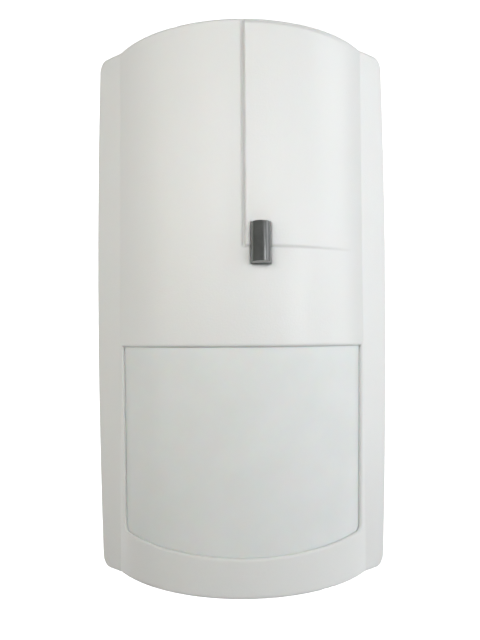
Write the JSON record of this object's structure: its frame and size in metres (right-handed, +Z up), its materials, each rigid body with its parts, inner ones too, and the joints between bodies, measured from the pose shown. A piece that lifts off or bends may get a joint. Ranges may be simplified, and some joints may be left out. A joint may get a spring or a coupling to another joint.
{
  "type": "motion sensor",
  "caption": "Upright wall motion sensor: convex white cover hinged to a bevelled base, curved lens below, smoked light window, circuit board inside.",
  "frame": {"origin": "centre of the flat back face, on the wall plane, at the middle of the case's height", "axes": "+Z up along the case's height, +Y out of the back into the wall, +X to the right as seen from the room; the front faces -Y"},
  "size_m": [0.0702, 0.0496, 0.1247],
  "materials": {
    "base_abs": "fine matt moulded ABS",
    "cover_abs": "fine spark-textured white ABS",
    "lens_hdpe": "frosted milky polyethylene sheet",
    "frame_abs": "plain white ABS",
    "smoked_window": "polished smoked polycarbonate",
    "light_guide": "clear polished acrylic",
    "screw_zinc": "zinc plated",
    "lock_nickel": "nickel plated",
    "ring_fibre": "vulcanised fibre",
    "pcb_green": "solder mask over woven glass",
    "holder_black": "matt black nylon",
    "can_nickel": "nickel plated can",
    "filter_dark": "dark infrared filter",
    "lead_tin": "tinned wire",
    "radar_board": "off-white microwave laminate",
    "shield_tin": "tin plated steel",
    "pin_gold": "gold flash",
    "led_red": "clear tinted resin",
    "led_yellow": "clear tinted resin",
    "led_green": "clear tinted resin",
    "terminal_green": "moulded polyamide",
    "terminal_screw": "nickel plated",
    "terminal_clamp": "tinned brass",
    "switch_black": "moulded polyester",
    "plunger_white": "white acetal",
    "trimmer_blue": "moulded blue polyester",
    "rotor_white": "white polyester",
    "header_black": "black base with gold pins",
    "cap_black": "moulded black polyester",
    "relay_yellow": "off-white sealed case",
    "chip_black": "black epoxy with tinned legs",
    "capacitor_sleeve": "shrink sleeve",
    "crystal_steel": "pressed steel can"
  },
  "bodies": {
    "base": {"rear_base": "base_abs", "pcb_screw": "screw_zinc"},
    "board": {"main_pcb": "pcb_green", "pyro_holder": "holder_black", "pyro_can": "can_nickel", "pyro_window": "filter_dark", "pyro_leads": "lead_tin", "microwave_board": "radar_board", "microwave_shield": "shield_tin", "microwave_header_pins": "pin_gold", "led_red": "led_red", "led_yellow": "led_yellow", "led_green": "led_green", "terminal_block": "terminal_green", "terminal_screws": "terminal_screw", "terminal_clamps": "terminal_clamp", "tamper_switch_body": "switch_black", "trimmer_body": "trimmer_blue", "jumper_headers": "header_black", "alarm_relay": "relay_yellow", "microcontroller": "chip_black", "op_amp": "chip_black", "filter_capacitors": "capacitor_sleeve", "crystal": "crystal_steel"},
    "cover": {"front_cover": "cover_abs", "fresnel_lens": "lens_hdpe", "lens_frame": "frame_abs", "led_window": "smoked_window", "led_light_guide": "light_guide"},
    "screw_ring": {"screw_retainer_ring": "ring_fibre"},
    "lock_screw": {"lock_screw": "lock_nickel"},
    "tamper_plunger": {"tamper_plunger": "plunger_white"},
    "trimmer_rotor": {"trimmer_rotor": "rotor_white"},
    "jumper_cap_1": {"jumper_cap_1": "cap_black"},
    "jumper_cap_2": {"jumper_cap_2": "cap_black"},
    "jumper_cap_3": {"jumper_cap_3": "cap_black"}
  },
  "joints": [
    {"name": "cover_hinge", "type": "hinge", "parent": "base", "child": "cover", "pos_m": [0, -0.0142, 0.0595], "axis": [-1, 0, 0], "range_deg": [0, 65]},
    {"name": "board_slide", "type": "slide", "parent": "base", "child": "board", "axis": [0, 0, 1], "range_m": [-0.002, 0.002]},
    {"name": "screw_travel", "type": "slide", "parent": "cover", "child": "screw_ring", "axis": [0, 0, -1], "range_m": [0, 0.0032]},
    {"name": "screw_turn", "type": "hinge", "parent": "screw_ring", "child": "lock_screw", "pos_m": [0, -0.02, -0.0615], "axis": [0, 0, -1], "range_deg": [0, 1440]},
    {"name": "tamper_travel", "type": "slide", "parent": "board", "child": "tamper_plunger", "axis": [0, -1, 0], "range_m": [0, 0.0015]},
    {"name": "trimmer_turn", "type": "hinge", "parent": "board", "child": "trimmer_rotor", "pos_m": [-0.019, -0.015, 0.01], "axis": [0, -1, 0], "range_deg": [-135, 135]},
    {"name": "jumper_1_pull", "type": "slide", "parent": "board", "child": "jumper_cap_1", "axis": [0, -1, 0], "range_m": [0, 0.007]},
    {"name": "jumper_2_pull", "type": "slide", "parent": "board", "child": "jumper_cap_2", "axis": [0, -1, 0], "range_m": [0, 0.007]},
    {"name": "jumper_3_pull", "type": "slide", "parent": "board", "child": "jumper_cap_3", "axis": [0, -1, 0], "range_m": [0, 0.007]}
  ],
  "couplings": [
    {"joint": "screw_turn", "follows": "screw_travel", "rad_per_m": 7854},
    {"joint": "tamper_travel", "follows": "cover_hinge", "m_per_rad": 0.00132}
  ]
}
